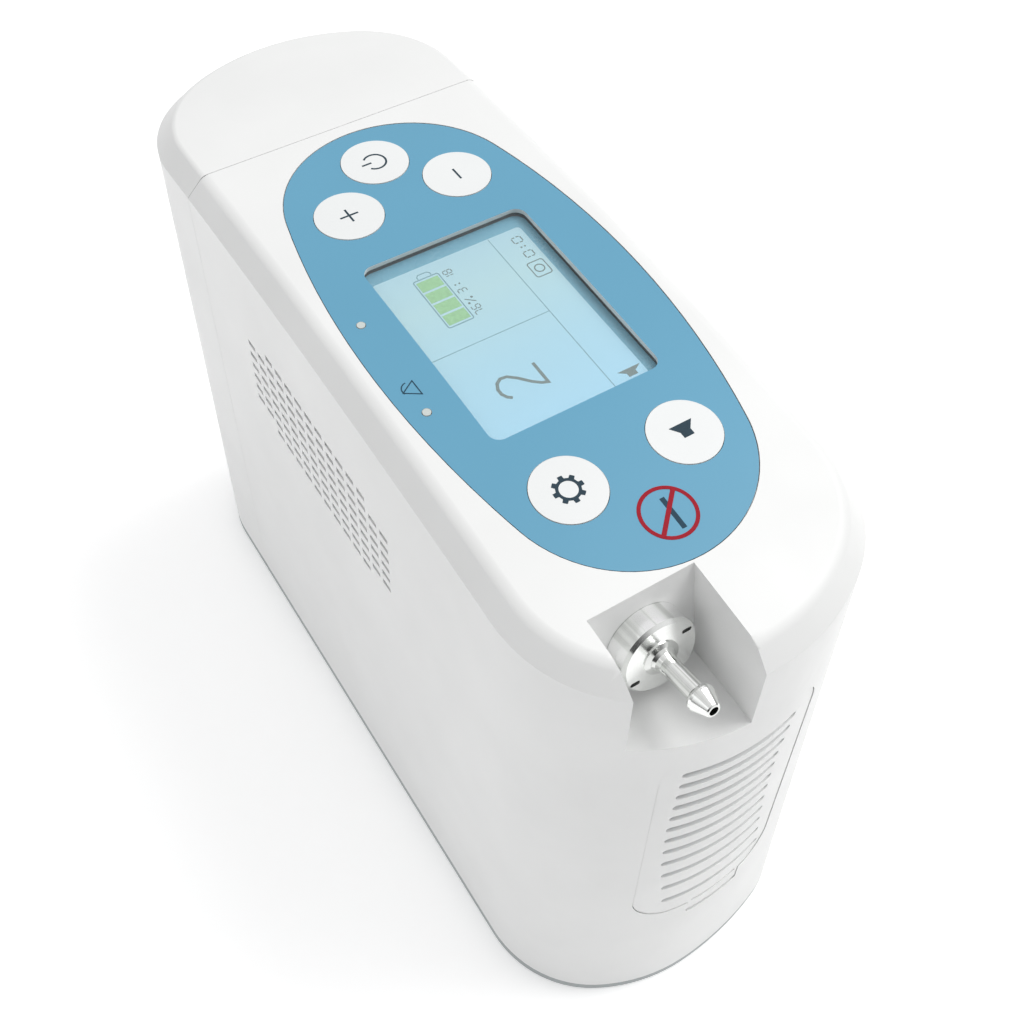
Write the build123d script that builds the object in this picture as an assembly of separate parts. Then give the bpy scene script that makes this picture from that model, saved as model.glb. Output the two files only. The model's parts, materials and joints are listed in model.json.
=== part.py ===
"""Portable oxygen concentrator: tall narrow housing, control panel on top, removable battery pack."""
from build123d import *
import math
import os

# ---------------------------------------------------------------- driving dimensions, millimetres
# Frame: origin on the table under the middle of the body, +X to the right of the outlet end,
# +Y towards the battery end, +Z up.  The outlet end is the front.
HALF_WIDTH = 40.0          # flat side walls
END_RADIUS = 49.0          # large arc across each end, in plan
CORNER_RADIUS = 31.0       # arc that joins the end arc to the side wall
BULGE_END_RADIUS = 90.0    # front right end arc at the base, flatter than the others
BULGE_CORNER_RADIUS = 16.0  # front right corner at the base, fuller than the others
FRONT_TOP_Y = -102.75      # front tip at the shoulder
FRONT_BASE_Y = -111.25     # front tip at the base
REAR_TOP_Y = 107.25
REAR_BASE_Y = 111.25
SHOULDER_Z = 160.0
FORM_BASE_Z = 2.6          # height at which the base dimensions of the plan are given
SHELL_BASE_Z = 4.2         # lower edge of the white shell, on top of the base plate
FLOOR_TOP_Z = 4.9          # top of the base plate's locating rim, inside the shell
PLATE_BASE_Z = 1.0         # underside of the base plate, carried clear by the feet
CROWN_Z = 165.0            # highest line of the gently curved top
CROWN_RADIUS = 1100.0
BAND_WIDTH = 4.5           # sloping band round the top: width in plan and drop
BAND_DROP = 4.6
WALL = 2.4
TOP_WALL = 2.8
FLAT_TOP_WALL = 6.0        # crown drop of the cavity close to the band
BAND_INSET = 5.2

SEAM_Y = 62.0              # front face of the battery pack's rim
SEAM_GAP = 0.15
PACK_TRAVEL_CLEAR = 0.4    # clearance of the pack's guide ribs in the bulkhead

PANEL_Y = -11.25           # middle of the control panel, under the highest line of the top
OVERLAY_HALF_WIDTH = 32.4
OVERLAY_HALF_LENGTH = 68.6
OVERLAY_END_RADIUS = 27.5
OVERLAY_SHIFT_Y = 1.0      # the oval sits slightly behind the middle of the display window
OVERLAY_SINK = 0.1         # overlay top below the crown
OVERLAY_THICKNESS = 0.5
OVERLAY_GAP = 0.2
WINDOW_HALF = (20.2, 27.1)
WINDOW_CORNER = 2.6
LENS_DEPTH = 1.6
LENS_THICKNESS = 1.1
LCD_THICKNESS = 2.2
BEZEL_GAP = 0.1            # bezel opening outside the edge of the overlay's window

KEY_RADIUS = 7.8
KEY_GAP = 0.15
KEY_PROUD = 0.05
KEY_POSITIONS = {          # from the middle of the panel
    "key_power": (0.0, 57.2),
    "key_minus": (13.85, 43.7),
    "key_plus": (-13.85, 43.7),
    "key_sound": (13.75, -43.3),
    "key_settings": (-13.75, -43.3),
}
LIGHT_POSITIONS = ((-27.6, 1.7), (-27.6, -25.1))
LIGHT_RADIUS = 0.9
BOARD_Z = 152.4            # underside of the display board
BOARD_THICKNESS = 1.6
BUZZER_PLACE = (17.0, -40.0)

BAY_X = (-26.5, -2.5)      # outlet bay: open to the front and to the top
BAY_TOP_Y = -79.5
BAY_FLOOR_Z = 139.0
BAY_TILT = 14.0            # degrees that the outlet looks up
BAY_WALL = 2.0
OUTLET_X = -14.5
OUTLET_Z = 150.2
FLANGE_RADIUS = 8.6
FLANGE_THICKNESS = 5.6
FLANGE_CHAMFER = 0.7
SPANNER_HOLE_PLACE = (6.0, 3.5)
SPANNER_HOLE_SIZE = (2.2, 1.0)
SPANNER_HOLE_DEPTH = 2.0
OUTLET_THREAD_RADIUS = 3.0
COLLAR_RADIUS = 3.9
STEM_RADIUS = 2.0
BARB_RADIUS = 3.0
BARB_TIP_RADIUS = 1.6
BARB_BORE = 1.0
STEM_LENGTH = 10.8         # from the flange's face to the barb's shoulder
BARB_LENGTH = 15.6         # from the flange's face to the tip

LOUVRE_HALF_WIDTH = 19.5   # lift-off intake cover in the front wall
LOUVRE_Z = (50.0, 134.0)
LOUVRE_CORNER = 11.0
LOUVRE_GAP = 0.18
LOUVRE_THICKNESS = 2.0
LOUVRE_SLOTS = 12
LOUVRE_TOP_SLOT_Z = 125.3
LOUVRE_PITCH = 4.75        # distance between the upper slots, which grows towards the base
LOUVRE_PITCH_GROWTH = 0.0112
LOUVRE_SLOT_LEFT = ((58.0, -12.6), (83.0, -15.2), (100.0, -15.8), (126.0, -15.2))
LOUVRE_SLOT_RIGHT = ((58.0, 16.6), (75.0, 13.8), (90.0, 12.0), (110.0, 11.2), (126.0, 13.0))
LOUVRE_SLOT_HEIGHT = 2.1
LATCH_TAB_X = (-4.6, 11.2)  # tongue under the intake cover, with a finger groove across it
LATCH_TAB_Z = (44.0, 56.0)
LATCH_GROOVE_Z = (49.6, 50.9)
LATCH_GROOVE_DEPTH = 0.9

GRILLE_ROWS = 8            # side grilles: rows and columns of short slots
GRILLE_COLUMNS = 14
GRILLE_SHORT_COLUMNS = 2   # columns left out at both ends of the first and last rows
GRILLE_TOP_Z = 136.8
GRILLE_PITCH_Z = 3.9
GRILLE_NEAR_Y = -27.0
GRILLE_PITCH_Y = 4.85
GRILLE_SLOT = (3.5, 1.6)
GRILLE_MARGIN = 5.0
GRILLE_END_HEIGHT = 18.0   # upright part of the insert's ends

COLUMN_X = 17.5            # molecular sieve columns
COLUMN_Y = 38.0
COLUMN_RADIUS = 15.0
COLUMN_Z = (24.0, 124.0)
COMPRESSOR_Y = -25.0
MOTOR_RADIUS = 21.0
SHAFT_RADIUS = 2.5
RUNNING_CLEARANCE = 0.05
FAN_CENTRE = (3.0, -71.6, 78.0)
FAN_SIZE = 50.0
FAN_DEPTH = 13.0
FAN_RIM = 1.6              # thinnest wall between the fan's bore and its side
FAN_HUB_RADIUS = 8.0
FAN_PIN_RADIUS = 1.2
FAN_BLADES = 7
CELL_RADIUS = 8.9
CELL_LENGTH = 65.0
CELL_LAYERS_Z = (12.0, 80.0)
CELL_PLATES_Z = ((9.5, 11.8), (77.2, 79.8), (145.1, 146.8))
LATCH_HALF_WIDTH = 12.0
LATCH_Z = (112.0, 127.0)
LATCH_GAP = 0.35
JACK_Y = -16.0
JACK_Z = 22.0

os.makedirs("parts", exist_ok=True)


# ---------------------------------------------------------------- helpers
def save(node, shape):
    """Write one sub-part."""
    export_step(shape, f"parts/{node}.step")


def box(x_range, y_range, z_range):
    """Axis-aligned block between limits."""
    size = [high - low for low, high in (x_range, y_range, z_range)]
    middle = [(high + low) / 2 for low, high in (x_range, y_range, z_range)]
    return Pos(*middle) * Box(*size)


def rod(centre, radius, z_range):
    """Upright cylinder."""
    x, y = centre
    low, high = z_range
    return Pos(x, y, (low + high) / 2) * Cylinder(radius, high - low)


def rod_x(y, z, radius, x_range):
    low, high = x_range
    return Pos((low + high) / 2, y, z) * Rot(0, 90, 0) * Cylinder(radius, high - low)


def rod_y(x, z, radius, y_range):
    low, high = y_range
    return Pos(x, (low + high) / 2, z) * Rot(90, 0, 0) * Cylinder(radius, high - low)


def slab(face, z_range):
    """Extrude a face drawn at z = 0 between two heights."""
    low, high = z_range
    return Pos(0, 0, low) * extrude(face, high - low)


def group(shapes):
    """Keep separate solids together in one node."""
    return Compound(children=list(shapes))


def between(stations, z):
    """Dimension at one height, on straight lines between its given values."""
    for (low, first), (high, second) in zip(stations, stations[1:]):
        if z <= high:
            break
    return first + (second - first) * (z - low) / (high - low)


# ---------------------------------------------------------------- outer form
FORM_Z = (FORM_BASE_Z, CROWN_Z + 7)  # heights between which the walls run straight
ABOVE = (CROWN_Z - 25, CROWN_Z + 5)  # reach of cuts down through the top


def along_height(base, top, z):
    """Straight run of a dimension from the base to the shoulder."""
    return base + (top - base) * (z - FORM_BASE_Z) / (SHOULDER_Z - FORM_BASE_Z)


def end_quarter(tip, toward, side, half_width, end_radius, corner_radius, z):
    """Points of one quarter of the plan: end arc from the tip, then the corner arc."""
    lean = math.asin((half_width - corner_radius) / (end_radius - corner_radius))
    end_y = tip - toward * end_radius
    corner_y = end_y + toward * (end_radius - corner_radius) * math.cos(lean)
    corner_x = half_width - corner_radius

    def on_arc(cx, cy, radius, angle):
        return Vector(side * (cx + radius * math.sin(angle)), cy + toward * radius * math.cos(angle), z)

    return (
        on_arc(0, end_y, end_radius, 0),
        on_arc(0, end_y, end_radius, lean / 2),
        on_arc(0, end_y, end_radius, lean),
        on_arc(corner_x, corner_y, corner_radius, (lean + math.pi / 2) / 2),
        on_arc(corner_x, corner_y, corner_radius, math.pi / 2),
    )


def plan_face(inset, z):
    """Plan outline at one height, shrunk by inset."""
    half_width = HALF_WIDTH - inset
    front = along_height(FRONT_BASE_Y, FRONT_TOP_Y, z) + inset
    rear = along_height(REAR_BASE_Y, REAR_TOP_Y, z) - inset
    radii = (END_RADIUS - inset, CORNER_RADIUS - inset)
    bulge = (
        along_height(BULGE_END_RADIUS, END_RADIUS, z) - inset,
        along_height(BULGE_CORNER_RADIUS, CORNER_RADIUS, z) - inset,
    )
    front_right = end_quarter(front, -1, 1, half_width, *bulge, z)
    front_left = end_quarter(front, -1, -1, half_width, *radii, z)
    rear_right = end_quarter(rear, 1, 1, half_width, *radii, z)
    rear_left = end_quarter(rear, 1, -1, half_width, *radii, z)
    edges = []
    for near, far in ((front_right, rear_right), (rear_left, front_left)):
        edges.append(ThreePointArc(near[0], near[1], near[2]))
        edges.append(ThreePointArc(near[2], near[3], near[4]))
        edges.append(Line(near[4], far[4]))
        edges.append(ThreePointArc(far[4], far[3], far[2]))
        edges.append(ThreePointArc(far[2], far[1], far[0]))
    return Face(Wire(edges))


def body_form(inset):
    """Body of the full height, with upright sides and slightly sloping ends."""
    return loft([plan_face(inset, z) for z in FORM_Z], ruled=True)


def base_strip():
    """Strip under the white shell, with the outline of its lower edge."""
    height = SHELL_BASE_Z - PLATE_BASE_Z
    return Pos(0, 0, -height) * extrude(plan_face(0, SHELL_BASE_Z), height, dir=(0, 0, 1))


def body_block(inset, z_range):
    """Body between two heights, cut from one full-height form so that all insets match."""
    return body_form(inset) & box((-60, 60), (-130, 130), z_range)


def crown(drop):
    """Everything under the curved top, lowered by drop."""
    middle = Pos(0, PANEL_Y, CROWN_Z - CROWN_RADIUS)
    return middle * Rot(0, 90, 0) * Cylinder(CROWN_RADIUS - drop, 4 * HALF_WIDTH)


def crown_height(y):
    """Height of the curved top at one place along the body."""
    return CROWN_Z - CROWN_RADIUS + math.sqrt(CROWN_RADIUS ** 2 - (y - PANEL_Y) ** 2)


def outer_form():
    """Whole body, with the sloping band round the top."""
    block = (body_form(0) & crown(0)).solid()
    top = block.faces().sort_by(Axis.Z)[-1]
    return block.chamfer(BAND_WIDTH, BAND_DROP, top.edges(), face=top)


def cavity():
    """Space inside the walls, stepped under the band."""
    lower = body_form(WALL) & crown(FLAT_TOP_WALL)
    upper = body_block(BAND_INSET, (SHOULDER_Z - 20, CROWN_Z + 7)) & crown(TOP_WALL)
    return lower.fuse(upper)


def oval_face(grow):
    """Four-arc oval of the control panel."""
    half_width = OVERLAY_HALF_WIDTH + grow
    half_length = OVERLAY_HALF_LENGTH + grow
    end_radius = OVERLAY_END_RADIUS + grow
    end_y = half_length - end_radius
    gap = half_width ** 2 + end_y ** 2 - end_radius ** 2
    side_radius = gap / (2 * (half_width - end_radius))
    side_x = side_radius - half_width
    reach = end_radius / (side_radius - end_radius)
    join_x = side_x * reach
    join_y = end_y + end_y * reach
    points = [(join_x, -join_y), (half_width, 0), (join_x, join_y), (0, half_length),
              (-join_x, join_y), (-half_width, 0), (-join_x, -join_y), (0, -half_length)]
    edges = []
    for start in (0, 2, 4, 6):
        edges.append(ThreePointArc(*(points[(start + step) % 8] for step in range(3))))
    return Pos(0, PANEL_Y + OVERLAY_SHIFT_Y) * Face(Wire(edges))


def window_face(grow):
    half_x, half_y = WINDOW_HALF
    shape = RectangleRounded(2 * (half_x + grow), 2 * (half_y + grow), max(WINDOW_CORNER + grow, 0.6))
    return Pos(0, PANEL_Y) * shape


def key_places():
    return {name: (x, y + PANEL_Y) for name, (x, y) in KEY_POSITIONS.items()}


def light_places():
    return list(LIGHT_POSITIONS)


# ---------------------------------------------------------------- outlet bay frame
def outlet_plane():
    """Plane on the bay's back wall, looking along the outlet."""
    tilt = math.radians(BAY_TILT)
    y = BAY_TOP_Y - (crown_height(BAY_TOP_Y) - OUTLET_Z) * math.tan(tilt)
    return Plane(origin=(OUTLET_X, y, OUTLET_Z), x_dir=(1, 0, 0), z_dir=(0, -math.cos(tilt), math.sin(tilt)))


def bay_block(grow):
    """Space of the outlet bay, grown by its wall for the shell's inside."""
    slope = math.tan(math.radians(BAY_TILT))
    top_z = CROWN_Z + 10
    floor_z = BAY_FLOOR_Z - grow
    back = BAY_TOP_Y + grow / math.cos(math.radians(BAY_TILT))
    reference = crown_height(BAY_TOP_Y)
    points = [
        (back + (top_z - reference) * slope, top_z),
        (back - (reference - floor_z) * slope, floor_z),
        (FRONT_BASE_Y - 20, floor_z),
        (FRONT_BASE_Y - 20, top_z),
    ]
    profile = Plane.YZ * make_face(Polyline(*points, close=True))
    return Pos(BAY_X[0] - grow) * extrude(profile, BAY_X[1] - BAY_X[0] + 2 * grow)


# ---------------------------------------------------------------- housing
def grille_field(side, x_range):
    """Eight-sided field of a side grille, as a block across the wall."""
    top = GRILLE_TOP_Z + GRILLE_PITCH_Z
    low = GRILLE_TOP_Z - GRILLE_ROWS * GRILLE_PITCH_Z
    near = GRILLE_NEAR_Y - GRILLE_MARGIN
    far = GRILLE_NEAR_Y + (GRILLE_COLUMNS - 1) * GRILLE_PITCH_Y + GRILLE_MARGIN
    cut = GRILLE_SHORT_COLUMNS * GRILLE_PITCH_Y
    end_low = (top + low - GRILLE_END_HEIGHT) / 2
    end_top = (top + low + GRILLE_END_HEIGHT) / 2
    corners = [(near, end_low), (near, end_top), (near + cut, top), (far - cut, top),
               (far, end_top), (far, end_low), (far - cut, low), (near + cut, low)]
    outline = Plane.YZ * make_face(Polyline(*corners, close=True))
    low_x, high_x = sorted(side * x for x in x_range)
    return Pos(low_x) * extrude(outline, high_x - low_x)


def make_side_grille(side):
    """Wall insert with rows of short slots."""
    length, height = GRILLE_SLOT
    plate = grille_field(side, (HALF_WIDTH - WALL, HALF_WIDTH))
    slots = []
    for row in range(GRILLE_ROWS):
        z = GRILLE_TOP_Z - row * GRILLE_PITCH_Z
        short = GRILLE_SHORT_COLUMNS if row in (0, GRILLE_ROWS - 1) else 0
        for column in range(short, GRILLE_COLUMNS - short):
            y = GRILLE_NEAR_Y + column * GRILLE_PITCH_Y
            slots.append(Pos(side * HALF_WIDTH, y, z) * Box(4 * WALL, length, height))
    return plate.cut(*slots)


def louvre_face(grow):
    """Outline of the intake cover, seen from the front."""
    low, high = LOUVRE_Z
    outline = RectangleRounded(2 * (LOUVRE_HALF_WIDTH + grow), high - low + 2 * grow, LOUVRE_CORNER + grow)
    tab_x, tab_z = LATCH_TAB_X, LATCH_TAB_Z
    tab = RectangleRounded(tab_x[1] - tab_x[0] + 2 * grow, tab_z[1] - tab_z[0] + 2 * grow, 1.0 + grow)
    outline = Pos(0, (low + high) / 2) * outline + Pos(sum(tab_x) / 2, sum(tab_z) / 2) * tab
    return Plane.XZ * outline


def boss_places():
    return [(side * 33.2, y) for side in (-1, 1) for y in (-44.0, 4.0)]


def make_main_housing(outer, space):
    inside = space - bay_block(BAY_WALL)
    inside = inside - box((-60, 60), (SEAM_Y + 1, 130), (-10, 180))
    for place in boss_places():
        inside = inside - rod(place, 4.6, (FLOOR_TOP_Z + 0.1, 24))
    shell = outer & box((-60, 60), (-130, SEAM_Y), (SHELL_BASE_Z, 180))
    cuts = [inside, bay_block(0)]
    cuts.append(slab(oval_face(OVERLAY_GAP), ABOVE) - crown(OVERLAY_SINK + OVERLAY_THICKNESS))
    cuts.append(slab(window_face(1.8), ABOVE))
    cuts += [rod(place, KEY_RADIUS + KEY_GAP, ABOVE) for place in key_places().values()]
    cuts += [rod(place, LIGHT_RADIUS + 0.15, ABOVE) for place in light_places()]
    cuts.append(extrude(louvre_face(LOUVRE_GAP), 140))
    cuts += [grille_field(side, (HALF_WIDTH - WALL - 1, HALF_WIDTH + 1)) for side in (-1, 1)]
    plane = outlet_plane()
    cuts.append(plane * (Pos(0, 0, -3) * Cylinder(3.3, 10)))
    cuts.append(rod_x(JACK_Y, JACK_Z, 4.6, (HALF_WIDTH - 6, HALF_WIDTH + 2)))
    cuts += [rod(place, 1.5, (SHELL_BASE_Z, 20)) for place in boss_places()]
    for cut in cuts:
        shell = shell - cut
    return shell


def make_base_plate():
    strip = base_strip()
    rim = body_block(WALL + 0.25, (SHELL_BASE_Z, FLOOR_TOP_Z))
    plate = strip.fuse(rim) & box((-60, 60), (-130, SEAM_Y - 3.4), (0, 10))
    strip_rear = strip & box((-60, 60), (SEAM_Y - 4, SEAM_Y), (0, 10))
    plate = plate.fuse(strip_rear)
    for place in boss_places():
        plate = plate - rod(place, 1.7, (0, 10)) - rod(place, 3.2, (0, PLATE_BASE_Z + 1.6))
    return plate


def make_feet(places):
    return group(rod(place, 6.0, (0, PLATE_BASE_Z)) for place in places)


def make_base_screws():
    screws = []
    for place in boss_places():
        head = rod(place, 3.0, (PLATE_BASE_Z + 0.1, PLATE_BASE_Z + 1.6))
        head = head - rod(place, 1.3, (0, PLATE_BASE_Z + 1.0))
        screws.append(head.fuse(rod(place, 1.4, (PLATE_BASE_Z + 1.2, 18))))
    return group(screws)


# ---------------------------------------------------------------- control panel
def make_overlay():
    sheet = slab(oval_face(0), ABOVE) & crown(OVERLAY_SINK)
    sheet = sheet - crown(OVERLAY_SINK + OVERLAY_THICKNESS)
    sheet = sheet - slab(window_face(0), ABOVE)
    for place in key_places().values():
        sheet = sheet - rod(place, KEY_RADIUS + KEY_GAP, ABOVE)
    for place in light_places():
        sheet = sheet - rod(place, LIGHT_RADIUS + 0.15, ABOVE)
    return sheet


def make_key(place):
    """Key cap, its retaining flange under the shell's top, and the stem over the switch."""
    top = crown_height(place[1])
    cap = rod(place, KEY_RADIUS, (top - 4.0, top + 2)) & crown(-KEY_PROUD)
    flange = rod(place, KEY_RADIUS + 1.4, (top - 4.5, top - 3.6))
    stem = rod(place, 2.0, (top - 5.6, top - 4.2))
    return cap.fuse(flange, stem)


def make_bezel():
    """Frame round the display: lip, lens seat and pocket for the display module."""
    top_drop = OVERLAY_SINK + OVERLAY_THICKNESS + 0.05
    tube = slab(window_face(1.6), (BOARD_Z + BOARD_THICKNESS, CROWN_Z + 5)) & crown(top_drop)
    tube = tube - slab(window_face(BEZEL_GAP), (BOARD_Z, CROWN_Z + 5))
    return tube - slab(window_face(0.5), (BOARD_Z, CROWN_Z - LENS_DEPTH))


def make_lens():
    top = CROWN_Z - LENS_DEPTH
    return slab(window_face(0.4), (top - LENS_THICKNESS, top))


def lcd_top():
    return CROWN_Z - LENS_DEPTH - LENS_THICKNESS - 0.1


def make_lcd():
    """Display glass on its backlight block."""
    glass = slab(window_face(0.3), (lcd_top() - LCD_THICKNESS, lcd_top()))
    backlight = slab(window_face(-0.4), (BOARD_Z + BOARD_THICKNESS, lcd_top() - LCD_THICKNESS + 0.1))
    return glass.fuse(backlight)


def standoff_places():
    return [(side * 27.5, y) for side in (-1, 1) for y in (-46.0, 20.0)]


def make_display_board():
    board = slab(Pos(0, PANEL_Y) * RectangleRounded(62, 126, 8), (BOARD_Z, BOARD_Z + BOARD_THICKNESS))
    for place in standoff_places():
        board = board - rod(place, 1.3, (BOARD_Z - 1, BOARD_Z + 3))
    return board


def make_standoffs():
    pieces = []
    for place in standoff_places():
        post = rod(place, 2.6, (BOARD_Z + BOARD_THICKNESS, CROWN_Z)) & crown(TOP_WALL)
        pieces.append(post.fuse(rod(place, 1.2, (BOARD_Z - 1.2, BOARD_Z + 3)), rod(place, 2.2, (BOARD_Z - 1.4, BOARD_Z))))
    return group(pieces)


def make_board_components():
    """Key switches and indicator chips above the display board, and the buzzer under it."""
    pieces = []
    top = BOARD_Z + BOARD_THICKNESS
    for x, y in key_places().values():
        body = box((x - 3, x + 3), (y - 3, y + 3), (top, top + 2.6))
        pieces.append(body.fuse(rod((x, y), 1.7, (top + 2.5, top + 3.2))))
    for x, y in light_places():
        pieces.append(box((x - 1.2, x + 1.2), (y - 0.8, y + 0.8), (top, top + 1.0)))
    buzzer = rod(BUZZER_PLACE, 6.0, (BOARD_Z - 5.0, BOARD_Z))
    pieces.append(buzzer - rod(BUZZER_PLACE, 1.2, (BOARD_Z - 6, BOARD_Z - 2.5)))
    return group(pieces)


def make_light_pipes():
    pieces = []
    top = BOARD_Z + BOARD_THICKNESS
    for place in light_places():
        pipe = rod(place, LIGHT_RADIUS, (top + 1.6, CROWN_Z + 2)) & crown(0)
        pieces.append(pipe.fuse(rod(place, 2.2, (top + 1.2, top + 3.0))))
    return group(pieces)


# ---------------------------------------------------------------- outlet
def make_flange():
    """Turned disc against the bay's back wall, with two oblong spanner holes."""
    disc = Pos(0, 0, FLANGE_THICKNESS / 2) * Cylinder(FLANGE_RADIUS, FLANGE_THICKNESS)
    disc = disc.solid().chamfer(FLANGE_CHAMFER, None, disc.edges().sort_by(Axis.Z)[-1:])
    disc = disc - Cylinder(OUTLET_THREAD_RADIUS, 4 * FLANGE_THICKNESS)
    x, y = SPANNER_HOLE_PLACE
    slot = extrude(SlotOverall(*SPANNER_HOLE_SIZE), FLANGE_THICKNESS)
    for side in (-1, 1):
        disc = disc - Pos(side * x, side * y, FLANGE_THICKNESS - SPANNER_HOLE_DEPTH) * slot
    return outlet_plane() * disc


def make_barb():
    """Turned hose barb: threaded tail, hollow-sided collar, stem, rounded barb, cone and through bore."""
    face = FLANGE_THICKNESS
    shoulder = face + STEM_LENGTH
    tip = face + BARB_LENGTH
    profile = Polyline(
        (BARB_BORE, -8),
        (OUTLET_THREAD_RADIUS, -8),
        (OUTLET_THREAD_RADIUS, face),
        (COLLAR_RADIUS, face),
        (COLLAR_RADIUS, face + 0.25),
        (STEM_RADIUS + 0.85, face + 0.65),
        (STEM_RADIUS + 0.3, face + 1.3),
        (STEM_RADIUS, face + 2.3),
        (STEM_RADIUS, shoulder),
        (STEM_RADIUS + 0.5, shoulder + 0.15),
        (BARB_RADIUS - 0.12, shoulder + 0.55),
        (BARB_RADIUS, shoulder + 1.0),
        (BARB_RADIUS - 0.1, shoulder + 1.5),
        (BARB_TIP_RADIUS, tip - 0.25),
        (BARB_TIP_RADIUS - 0.2, tip),
        (BARB_BORE, tip),
        close=True,
    )
    return outlet_plane() * revolve(Plane.XZ * make_face(profile), Axis.Z)


def make_outlet_nut():
    """Hexagon nut that holds the outlet from inside the shell."""
    nut = extrude(RegularPolygon(5.6, 6), 3.0) - Cylinder(OUTLET_THREAD_RADIUS, 20)
    return outlet_plane() * (Pos(0, 0, -BAY_WALL - 3.2) * nut)


# ---------------------------------------------------------------- intake
def make_louvre_cover():
    skin = body_block(0.2, (LOUVRE_Z[0] - 5, LOUVRE_Z[1] + 5)) - body_block(
        0.2 + LOUVRE_THICKNESS, (LOUVRE_Z[0] - 6, LOUVRE_Z[1] + 6))
    cover = skin & extrude(louvre_face(0), 140)
    for index in range(LOUVRE_SLOTS):
        z = LOUVRE_TOP_SLOT_Z - LOUVRE_PITCH * index - LOUVRE_PITCH_GROWTH * index ** 3
        left = between(LOUVRE_SLOT_LEFT, z)
        right = between(LOUVRE_SLOT_RIGHT, z)
        slot = Plane.XZ * SlotOverall(right - left, LOUVRE_SLOT_HEIGHT)
        cover = cover - Pos((left + right) / 2, 0, z) * extrude(slot, 140)
    reach = (LATCH_GROOVE_Z[0] - 1, LATCH_GROOVE_Z[1] + 1)
    groove = box((LATCH_TAB_X[0] + 1, LATCH_TAB_X[1] - 1), (-130, -60), LATCH_GROOVE_Z)
    return cover - (groove - body_block(0.2 + LATCH_GROOVE_DEPTH, reach))


def make_intake_duct():
    """Rectangular duct from the cover to the fan, which also holds the filter."""
    outer = box((-21.0, 21.0), (-110, -78.2), (48.5, 135.5)) & body_block(WALL + 0.05, (40, 140))
    return outer - box((-19.2, 19.2), (-112, -80.2), (50.3, 133.7)) - rod_y(
        FAN_CENTRE[0], FAN_CENTRE[2], 15.0, (-90, -70))


def make_intake_filter():
    return box((-18.6, 18.6), (-110, -90.5), (51, 133)) & body_block(WALL + 0.6, (40, 140))


def make_side_filter(side):
    x_range = sorted((side * (HALF_WIDTH - WALL - 2.6), side * (HALF_WIDTH - WALL - 0.1)))
    return box(x_range, (-36, 44), (104, 141))


# ---------------------------------------------------------------- battery pack
def make_battery_shell(outer, space):
    shell = outer & box((-60, 60), (SEAM_Y + SEAM_GAP, 130), (SHELL_BASE_Z, 180))
    hollow = space & box((-60, 60), (SEAM_Y - 5, 130), (SHELL_BASE_Z + WALL, 180))
    shell = shell - hollow
    return shell - latch_pocket()


def make_battery_base():
    return base_strip() & box((-60, 60), (SEAM_Y + SEAM_GAP, 130), (0, 10))


LID_Z = (SHELL_BASE_Z + WALL + 0.1, 152.0)
RIB_X = 26.0


def make_battery_lid():
    """Front wall of the pack, with two guide ribs that enter the bulkhead."""
    lid = body_block(WALL + 0.1, LID_Z) & box((-60, 60), (SEAM_Y + 0.6, SEAM_Y + 2.6), LID_Z)
    for side in (-1, 1):
        lid = lid.fuse(box((side * RIB_X - 2, side * RIB_X + 2), (SEAM_Y - 4.4, SEAM_Y + 0.7), (30, 120)))
    return lid - box((-10.2, 10.2), (SEAM_Y - 5, SEAM_Y + 5), (19.8, 32.2))


def cell_places():
    first = [(x, 75.2) for x in (-27.2, -9.1, 9.1, 27.2)]
    second = [(x, 90.9) for x in (-18.1, 0.0, 18.1)]
    return first + second


def make_battery_cells():
    cells = []
    for place in cell_places():
        for low in CELL_LAYERS_Z:
            can = rod(place, CELL_RADIUS, (low, low + CELL_LENGTH - 1.0))
            cells.append(can.fuse(rod(place, 3.0, (low + CELL_LENGTH - 1.5, low + CELL_LENGTH))))
    return group(cells)


def make_cell_holders():
    """Plates under, between and above the two layers of cells."""
    plates = []
    for z_range in CELL_PLATES_Z:
        plate = box((-35.5, 35.5), (SEAM_Y + 3.0, 80.0), z_range)
        plates.append(plate.fuse(box((-20, 20), (79.0, 98.0), z_range)))
    return group(plates)


def make_battery_board():
    return box((-24, 24), (66.0, 96.0), (147.2, 148.8))


def make_battery_connector():
    body = box((-10, 10), (SEAM_Y + 0.4, SEAM_Y + 2.9), (20, 32))
    for x in (-6.0, -2.0, 2.0, 6.0):
        body = body.fuse(box((x - 0.5, x + 0.5), (SEAM_Y - 3.0, SEAM_Y + 0.5), (23, 29)))
    return body


def latch_pocket():
    """Opening for the release button in the pack's rear wall."""
    low, high = LATCH_Z
    return box((-LATCH_HALF_WIDTH, LATCH_HALF_WIDTH), (SEAM_Y + 30, 130), (low, high))


def make_battery_latch():
    """Rear push button that frees the pack, with its retaining flange inside the wall."""
    low, high = LATCH_Z
    gap = LATCH_GAP
    reach = (low - 20, high + 20)
    skin = body_block(0.2, reach) - body_block(3.4, reach)
    half = LATCH_HALF_WIDTH - gap
    button = skin & box((-half, half), (SEAM_Y + 30, 130), (low + gap, high - gap))
    inner = body_block(WALL + 0.2, reach) - body_block(WALL + 1.4, reach)
    half = LATCH_HALF_WIDTH + 1.5
    flange = inner & box((-half, half), (SEAM_Y + 30, 130), (low - 1.5, high + 1.5))
    return button.fuse(flange)


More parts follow.
